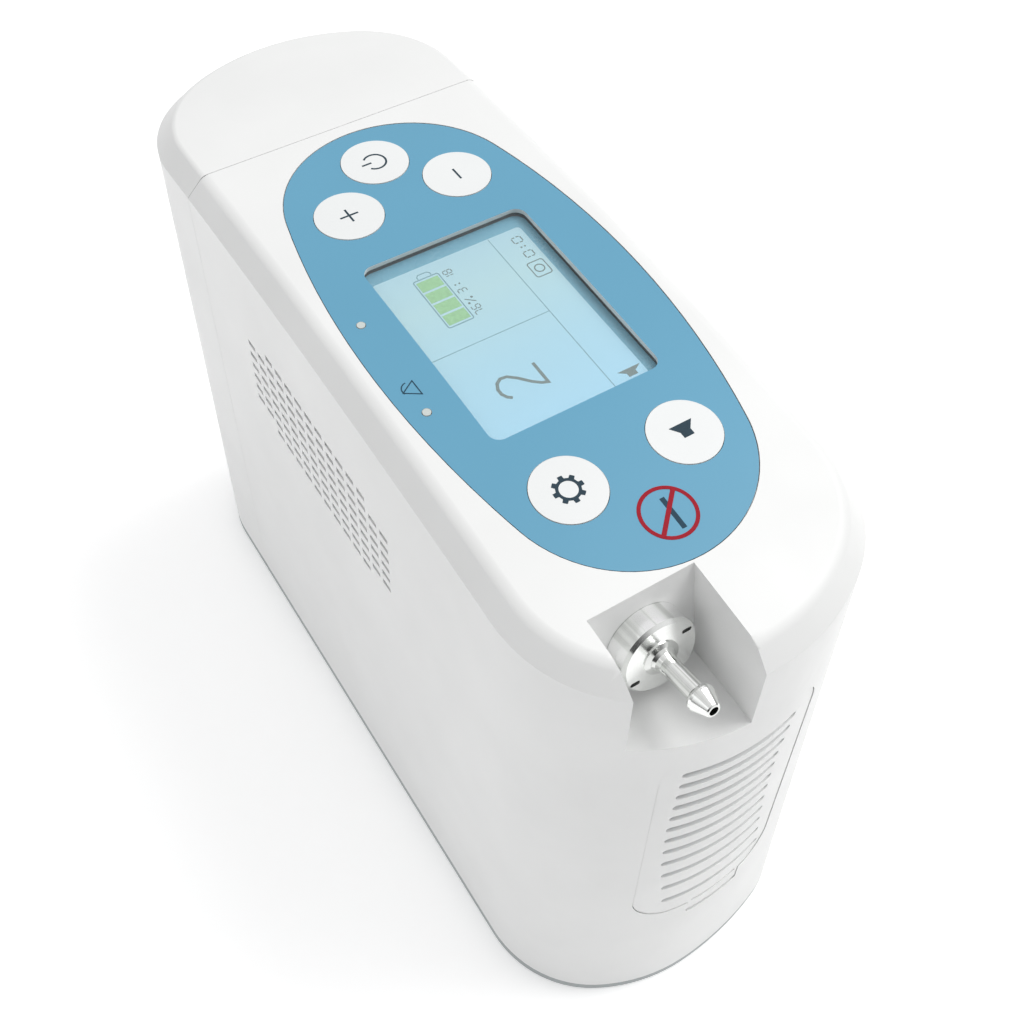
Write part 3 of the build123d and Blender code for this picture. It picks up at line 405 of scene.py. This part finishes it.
finishes = {
    "shell_white": moulded_plastic("shell_white", (0.800, 0.805, 0.800)),
    "base_grey": moulded_plastic("base_grey", (0.36, 0.39, 0.395), rough=0.5),
    "foot_rubber": soft_rubber("foot_rubber", (0.025, 0.025, 0.027)),
    "screw_steel": plain_metal("screw_steel", (0.60, 0.60, 0.61), 0.3),
    "panel_blue": panel_film(),
    "key_white": moulded_plastic("key_white", (0.775, 0.79, 0.79), rough=0.36, grain=0.0003, depth=0.000006),
    "bezel_dark": bezel_plastic(),
    "lens_clear": clear_lens(),
    "display_glass": display_border(),
    "board_green": solder_mask("board_green", (0.015, 0.115, 0.045)),
    "brass_parts": plain_metal("brass_parts", (0.78, 0.57, 0.25), 0.28),
    "component_black": moulded_plastic("component_black", (0.022, 0.022, 0.025), rough=0.45),
    "light_pipe": moulded_plastic("light_pipe", (0.56, 0.60, 0.58), rough=0.2, depth=0.000002),
    "outlet_aluminium": turned_metal("outlet_aluminium", (0.78, 0.79, 0.775), 0.17, 0.0000015),
    "outlet_chrome": turned_metal("outlet_chrome", (0.66, 0.67, 0.655), 0.14, 0.000002),
    "duct_plastic": moulded_plastic("duct_plastic", (0.60, 0.60, 0.59), rough=0.55),
    "filter_foam": open_foam("filter_foam", (0.62, 0.64, 0.72)),
    "cell_can": moulded_plastic("cell_can", (0.03, 0.12, 0.30), rough=0.3, depth=0.000004),
    "motor_metal": plain_metal("motor_metal", (0.42, 0.43, 0.45), 0.35),
    "cast_aluminium": plain_metal("cast_aluminium", (0.62, 0.63, 0.64), 0.5, depth=0.00006),
    "sieve_beads": bead_bed("sieve_beads", (0.72, 0.66, 0.54)),
    "filter_white": moulded_plastic("filter_white", (0.74, 0.75, 0.76), rough=0.5),
    "hose_silicone": soft_rubber("hose_silicone", (0.46, 0.50, 0.52), rough=0.45),
}
for part in frame["record"]["subparts"]:
    mesh = nodes[part["node"]].data
    mesh.materials.clear()
    mesh.materials.append(finishes[part["material_slot"]])


# ---------------------------------------------------------------- softened edges of the CAD meshes
SHARP = math.cos(math.radians(28))       # faces that turn by more than this get a rounding between them
FLAT_ANGLE = math.radians(0.4)           # faces that turn by less than this are merged
NEAR = 0.0001                            # a corner this close to a surface is on it
WELD_REACH = 0.000004                    # corners this close are one corner
SMALL_SEGMENTS = 2
RIM_SEGMENTS = 6
RIM_RADIUS = 2.0 * MM
SHELL_RADIUS = 0.35 * MM
TRIM_RADIUS = 0.3 * MM
WALL_X = cad_bounds[1][0]                # outer face of the side walls
grille_low, grille_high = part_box("side_grilles")


def on_rim(ends, normals):
    """Upper edge of the sloping band, which is much rounder than the other edges."""
    on_top = all(abs(end.z - crown_height(end.y)) < NEAR for end in ends)
    return on_top and any(0.4 < normal.z < 0.9 for normal in normals)


def on_grille_joint(ends):
    """Flush joint round a side grille, which stays closed."""
    for end in ends:
        if abs(end.x) < WALL_X - NEAR or not grille_low.y - NEAR < end.y < grille_high.y + NEAR:
            return False
        if not grille_low.z - NEAR < end.z < grille_high.z + NEAR:
            return False
    return True


def shared_corners(mesh):
    """For each vertex, the first of the vertices that the weld will merge with it."""
    tree = KDTree(len(mesh.vertices))
    for vertex in mesh.vertices:
        tree.insert(vertex.co, vertex.index)
    tree.balance()
    corners = []
    for vertex in mesh.vertices:
        corners.append(min(index for _, index, _ in tree.find_range(vertex.co, WELD_REACH)))
    return corners


def edge_weights(mesh):
    """Mark the edges that get a small rounding and, apart, those of the rounder rim."""
    corner = shared_corners(mesh)
    beside = {}
    for face in mesh.polygons:
        for a, b in face.edge_keys:
            beside.setdefault(frozenset((corner[a], corner[b])), []).append(face.normal)
    small = mesh.attributes.new("small_radius", "FLOAT", "EDGE")
    large = mesh.attributes.new("large_radius", "FLOAT", "EDGE")
    for edge in mesh.edges:
        ends = [mesh.vertices[index].co for index in edge.vertices]
        normals = beside[frozenset(corner[index] for index in edge.vertices)]
        if on_rim(ends, normals):
            large.data[edge.index].value = 1.0
        elif len(normals) > 1 and normals[0].dot(normals[1]) < SHARP and not on_grille_joint(ends):
            small.data[edge.index].value = 1.0


def bevel(piece, name, width, segments):
    """Round the edges marked by an attribute."""
    modifier = piece.modifiers.new(name, "BEVEL")
    modifier.limit_method = "WEIGHT"
    modifier.edge_weight = name
    modifier.width = width
    modifier.segments = segments
    modifier.loop_slide = False   # sliding folds faces where a top edge runs nearly along the rim


def soften(node, radius, has_rim=False):
    """Weld, merge flat triangles and round the sharp edges by a modifier stack."""
    piece = nodes[node]
    edge_weights(piece.data)
    weld = piece.modifiers.new("weld", "WELD")
    weld.merge_threshold = WELD_REACH
    flat = piece.modifiers.new("flat", "DECIMATE")
    flat.decimate_type = "DISSOLVE"
    flat.angle_limit = FLAT_ANGLE
    if has_rim:
        bevel(piece, "large_radius", RIM_RADIUS, RIM_SEGMENTS)
    bevel(piece, "small_radius", radius, SMALL_SEGMENTS)
    smooth = piece.modifiers.new("normals", "WEIGHTED_NORMAL")
    smooth.keep_sharp = False
    piece.data.shade_smooth()


for name in ("main_housing", "battery_shell"):
    soften(name, SHELL_RADIUS, has_rim=True)
for name in ("louvre_cover", "base_plate", "battery_base"):
    soften(name, TRIM_RADIUS)


# ---------------------------------------------------------------- flat drawings, in millimetres
def circle(x, y, radius, start=0.0, end=360.0, steps=48):
    """Points round a circle or, between two angles in degrees, an arc."""
    closed = abs(end - start) >= 360
    count = steps if closed else steps + 1
    points = []
    for index in range(count):
        angle = math.radians(start + (end - start) * index / steps)
        points.append((x + radius * math.cos(angle), y + radius * math.sin(angle)))
    return points


def stroke(points, width, closed=False):
    """Outline of a line drawn through points: one loop, or two where the line is closed."""
    count = len(points)
    sharpest = 0.35        # a corner's mitre grows no longer than this cosine allows
    sides = ([], [])
    for index, (x, y) in enumerate(points):
        before = points[index - 1] if closed or index else points[0]
        after = points[(index + 1) % count] if closed or index < count - 1 else points[-1]
        first = Vector((x - before[0], y - before[1]))
        second = Vector((after[0] - x, after[1] - y))
        first = first if first.length else second
        second = second if second.length else first
        first.normalize()
        second.normalize()
        across = Vector((-first.y - second.y, first.x + second.x)).normalized()
        reach = width / 2 / max(sharpest, across.dot(Vector((-second.y, second.x))))
        sides[0].append((x + across.x * reach, y + across.y * reach))
        sides[1].append((x - across.x * reach, y - across.y * reach))
    if closed:
        return [sides[0], sides[1]]
    return [sides[0] + sides[1][::-1]]


def rectangle(x_low, x_high, y_low, y_high, corner=0.0):
    if not corner:
        return [(x_low, y_low), (x_high, y_low), (x_high, y_high), (x_low, y_high)]
    points = []
    for x, y, start in (
        (x_high - corner, y_high - corner, 0),
        (x_low + corner, y_high - corner, 90),
        (x_low + corner, y_low + corner, 180),
        (x_high - corner, y_low + corner, 270),
    ):
        points += circle(x, y, corner, start, start + 90, 6)
    return points


def drawing(name, loops, centre, surface, thickness, material, body):
    """Thin solid print: closed loops about a centre, laid on a surface height(x, y)."""
    curve = bpy.data.curves.new(name, "CURVE")
    curve.dimensions = "2D"
    curve.fill_mode = "BOTH"
    curve.extrude = thickness / 2
    for loop in loops:
        spline = curve.splines.new("POLY")
        spline.points.add(len(loop) - 1)
        for point, (x, y) in zip(spline.points, loop):
            point.co = (centre.x + x * MM, centre.y + y * MM, 0.0, 1.0)
        spline.use_cyclic_u = True
    holder = bpy.data.objects.new(name + "_outline", curve)
    mesh = bpy.data.meshes.new_from_object(holder)
    bpy.data.objects.remove(holder)
    mesh.name = name
    for vertex in mesh.vertices:
        vertex.co.z += surface(vertex.co.x, vertex.co.y) + thickness / 2
    mesh.materials.append(material)
    piece = bpy.data.objects.new(name, mesh)
    scene.collection.objects.link(piece)
    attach(piece, body)


# ---------------------------------------------------------------- symbols on the keys and the panel
INK_SINK = 0.00002          # prints start this far inside the surface
INK_THICKNESS = 0.00006
KEY_PROUD = 0.00005         # the keys stand this far above the arch
FILM_SINK = 0.0001          # the film lies this far below it
KEY_LINE = 0.46
ALARM_LINE = 0.24
RING = PANEL + Vector((-0.2, -57.0, 0.0)) * MM

key_ink = print_ink("key_ink", (0.030, 0.055, 0.075))
ring_ink = print_ink("ring_ink", (0.33, 0.012, 0.024))
panel_ink = print_ink("panel_ink", (0.025, 0.060, 0.090))


def key_surface(x, y):
    """Height at which a key's print starts."""
    return crown_height(y) + KEY_PROUD - INK_SINK


def film_surface(level):
    """Height at which the film's prints start, raised by a part of their thickness where they cross."""
    return lambda x, y: crown_height(y) - FILM_SINK - INK_SINK + level * INK_THICKNESS


def plus_loop():
    """Upright cross: the two outer corners of each arm and the inner corner after it."""
    reach = 2.2
    half = KEY_LINE / 2
    corners = [(-half, -reach), (half, -reach), (half, -half)]
    points = []
    for _ in range(4):
        points += corners
        corners = [(-y, x) for x, y in corners]
    return points


def gear_loops():
    """Gear wheel with tapered teeth and a round hole."""
    teeth = 8
    root = 2.6
    tip = 3.35
    rising = [(root, -15), (root, -12.5), (tip, -9), (tip, -4)]
    falling = [(radius, -offset) for radius, offset in reversed(rising)]
    points = []
    for index in range(teeth):
        for radius, offset in rising + falling:
            angle = math.radians(360 / teeth * index + offset)
            points.append((radius * math.cos(angle), radius * math.sin(angle)))
    return [points, circle(0, 0, 1.95)]


power_arc = circle(0, 0, 2.6, -138, 138, 40)
key_symbols = {
    "key_power": stroke(power_arc, KEY_LINE) + stroke([(-3.3, 0), (-0.9, 0)], KEY_LINE),
    "key_minus": stroke([(0, -1.9), (0, 1.9)], KEY_LINE),
    "key_plus": [plus_loop()],
    "key_sound": [[(-0.95, -1.35), (1.45, -1.35), (1.45, 0.05), (3.0, 2.0), (-2.5, 2.0), (-0.95, 0.05)]],
    "key_settings": gear_loops(),
}
for key, loops in key_symbols.items():
    low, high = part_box(key)
    middle = (low + high) / 2
    drawing(key + "_symbol", loops, middle, key_surface, INK_THICKNESS, key_ink, key)


def panel_print(name, loops, centre, level, ink):
    drawing(name, loops, centre, film_surface(level), INK_THICKNESS, ink, "housing")


prohibition_ring = [circle(0, 0, 6.05, steps=72), circle(0, 0, 5.25, steps=72)]
prohibition_slash = stroke([(-4.05, -4.05), (4.05, 4.05)], 0.95)
alarm_triangle = stroke([(-29.2, -18.6), (-26.1, -16.6), (-26.0, -20.6)], ALARM_LINE, closed=True)
alarm_arc = stroke(circle(-27.4, -18.2, 1.75, 95, 205, 16), ALARM_LINE)
ORIGIN = Vector()
panel_print("prohibition_bar", [rectangle(0.25, 1.3, -4.3, 3.3)], RING, 0.0, panel_ink)
panel_print("prohibition_slash", prohibition_slash, RING, 0.5, ring_ink)
panel_print("prohibition_ring", prohibition_ring, RING, 0.25, ring_ink)
panel_print("alarm_triangle", alarm_triangle, ORIGIN, 0.0, panel_ink)
panel_print("alarm_arc", alarm_arc, ORIGIN, 0.0, panel_ink)


# ---------------------------------------------------------------- display picture
# Drawn about the window's middle. It reads along +Y, so a sign's top is towards -X.
LCD_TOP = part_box("display_module")[1].z
LCD_LAYER = 0.00003
RULE_LINE = 0.16
CASE_LINE = 0.22
NUMBER_LINE = 0.72
SMALL_LINE = 0.22
CLOCK_LINE = 0.28
FIELD_X = (-19.4, 18.0)
FIELD_Y = (-26.2, 23.8)
lcd_ink = print_ink("lcd_ink", (0.135, 0.190, 0.185), glow=0.05)
lcd_line = print_ink("lcd_line", (0.150, 0.290, 0.330), glow=0.05)
lcd_green = print_ink("lcd_green", (0.250, 0.480, 0.250), glow=0.10)

SEGMENTS = {                # which of the seven strokes each digit uses
    "0": "abcdef", "1": "bc", "3": "abgcd", "6": "afgedc", "7": "abc", "8": "abcdefg",
}
SEGMENT_ENDS = {
    "a": ((0, 1), (1, 1)), "b": ((1, 1), (1, 0.5)), "c": ((1, 0.5), (1, 0)), "d": ((1, 0), (0, 0)),
    "e": ((0, 0), (0, 0.5)), "f": ((0, 0.5), (0, 1)), "g": ((0, 0.5), (1, 0.5)),
}


def lcd_digit(character, left, base, width, height, line):
    """Seven-stroke digit, with a small gap at each stroke's ends."""
    loops = []
    for name in SEGMENTS[character]:
        (u0, v0), (u1, v1) = SEGMENT_ENDS[name]
        start = Vector((base - v0 * height, left + u0 * width))
        end = Vector((base - v1 * height, left + u1 * width))
        trim = (end - start).normalized() * line * 0.62
        start += trim
        end -= trim
        loops += stroke([tuple(start), tuple(end)], line)
    return loops


def lcd_print(name, loops, level, ink):
    """One layer of the display's picture."""
    z = LCD_TOP + level * LCD_LAYER
    drawing(name, loops, PANEL, lambda x, y: z, LCD_LAYER, ink, "housing")


def big_number():
    """Large thin figure two."""
    foot = [(-1.3, -11.7), (-1.3, -17.6), (-2.6, -17.1), (-4.2, -15.8), (-6.2, -13.6), (-7.9, -12.2)]
    bow = [(-9.4, -12.0), (-10.6, -12.8), (-11.3, -14.2), (-11.3, -15.6), (-10.7, -16.8), (-9.8, -17.5)]
    return stroke(foot + bow, NUMBER_LINE)


def battery_case():
    """Outline of a battery with its pole at the right."""
    pole = [(-9.7, 20.6), (-9.7, 21.3), (-9.2, 21.8), (-7.0, 21.8), (-6.5, 21.3), (-6.5, 20.6)]
    outline = [rectangle(-11.3, -4.9, 5.0, 20.5, 0.6), rectangle(-11.05, -5.15, 5.25, 20.25, 0.4)]
    return outline + stroke(pole, CASE_LINE)


def battery_cells():
    """The battery's four full bars."""
    pitch = 3.65
    bars = []
    for index in range(4):
        start = 5.75 + pitch * index
        bars.append(rectangle(-10.75, -5.45, start, start + 3.05))
    return bars


def small_readings():
    """Per cent and hours beside the battery."""
    loops = []
    for character, left in (("7", 5.4), ("6", 7.1), ("3", 12.6), ("1", 17.3), ("8", 19.0)):
        loops += lcd_digit(character, left, -2.1, 1.1, 2.0, SMALL_LINE)
    loops += [circle(-3.8, 9.2, 0.3, steps=12), circle(-2.4, 10.6, 0.3, steps=12)]
    loops += stroke([(-2.1, 9.1), (-4.1, 10.7)], SMALL_LINE)
    loops += [circle(-3.6, 15.3, 0.22, steps=12), circle(-2.6, 15.3, 0.22, steps=12)]
    return loops


def status_row():
    """Clock figures, framed ring and sound sign in the row under the long rule."""
    loops = []
    for left in (14.5, 19.4):
        loops += lcd_digit("0", left, 16.4, 1.8, 2.2, CLOCK_LINE)
    loops += [circle(14.9, 17.9, 0.24, steps=12), circle(15.8, 17.9, 0.24, steps=12)]
    loops += [rectangle(12.8, 17.0, 8.1, 13.0, 0.7), rectangle(13.05, 16.75, 8.35, 12.75, 0.5)]
    loops += [circle(14.9, 10.55, 1.25, steps=28), circle(14.9, 10.55, 0.95, steps=28)]
    loops += [[(13.7, -25.0), (15.9, -25.0), (15.9, -24.0), (17.7, -22.9), (12.1, -22.9), (13.7, -24.0)]]
    return loops


rules = stroke([(9.7, -26.0), (9.7, 23.6)], RULE_LINE) + stroke([(-19.2, -1.2), (9.6, -1.2)], RULE_LINE)
lcd_print("display_field", [rectangle(*FIELD_X, *FIELD_Y, 1.0)], 0, display_picture())
lcd_print("display_number", big_number(), 1, lcd_ink)
lcd_print("display_rules", rules, 1, lcd_line)
lcd_print("display_battery_case", battery_case(), 1, lcd_line)
lcd_print("display_battery_cells", battery_cells(), 1, lcd_green)
lcd_print("display_readouts", small_readings() + status_row(), 1, lcd_ink)


# ---------------------------------------------------------------- studio
FLOOR_HALF = 6.0
FLOOR_GLOW = 0.36
TARGET = (0, 0, 0.08)
DOME_STRENGTH = 0.785
CARD_DIRECTION = Vector((-0.35, -0.92, 0.15)).normalized()   # where the dark card stands


def floor():
    """Pale paper, faintly lit from itself so that it stays near white."""
    mesh = bpy.data.meshes.new("floor")
    corners = [(x * FLOOR_HALF, y * FLOOR_HALF, 0) for x, y in ((-1, -1), (1, -1), (1, 1), (-1, 1))]
    mesh.from_pydata(corners, [], [(0, 1, 2, 3)])
    piece = bpy.data.objects.new("floor", mesh)
    scene.collection.objects.link(piece)
    tree = material_tree("floor_paper")
    paper = tree.tint(tree.noise(0.3), (0.90, 0.90, 0.90), (0.92, 0.92, 0.92))
    tree.finish(Base_Color=paper, Roughness=0.9, Emission_Color=paper, Emission_Strength=FLOOR_GLOW)
    mesh.materials.append(tree.owner)


def softbox(name, place, size, power, colour):
    """Square area light that points at the body."""
    data = bpy.data.lights.new(name, "AREA")
    data.shape = "RECTANGLE"
    data.size = size
    data.size_y = size
    data.energy = power
    data.color = colour
    lamp = bpy.data.objects.new(name, data)
    lamp.location = place
    lamp.rotation_euler = (Vector(TARGET) - Vector(place)).to_track_quat("-Z", "Y").to_euler()
    scene.collection.objects.link(lamp)


def cool(grey):
    """Grey with a trace of blue."""
    return (grey, grey, grey * 1.01)


def dome():
    """Sky for reflections: bright overhead, darker low down, with a dark card over one corner."""
    scene.world = bpy.data.worlds.new("studio")
    tree = Tree(scene.world, "Background", "Generated")
    height = tree.span(tree.coordinate("Z"), -1.0, 1.0, 0.0, 1.0)
    sky = tree.ramp(height, (
        (0.0, cool(0.90)),
        (0.49, cool(0.80)),
        (0.53, cool(0.30)),
        (0.64, cool(0.42)),
        (0.72, cool(1.0)),
        (1.0, (1.0, 1.0, 1.0)),
    ))
    toward_card = tree.vector("DOT_PRODUCT", tree.place, CARD_DIRECTION)
    card = tree.span(toward_card, 0.66, 0.88, 1.0, 0.1)
    tree.finish(Color=tree.scale(sky, card), Strength=DOME_STRENGTH)


floor()
softbox("key_softbox", (0.75, -0.15, 1.25), 0.9, 11.6, (1.0, 0.998, 0.99))
softbox("fill_softbox", (-1.0, -0.1, 0.7), 0.8, 0.8, (0.98, 0.99, 1.0))
dome()
scene.view_settings.view_transform = "Standard"

# ---------------------------------------------------------------- camera
CAMERA_PLACE = (-0.10686, -0.16751, 0.36330)
CAMERA_ANGLES = (35.042, -2.138, -32.372)    # degrees about X, Y and Z
camera_data = bpy.data.cameras.new("camera")
camera_data.sensor_width = 36.0
camera_data.lens = 45.83
camera_data.clip_start = 0.01
camera = bpy.data.objects.new("camera", camera_data)
camera.location = CAMERA_PLACE
camera.rotation_euler = [math.radians(angle) for angle in CAMERA_ANGLES]
scene.collection.objects.link(camera)
scene.camera = camera
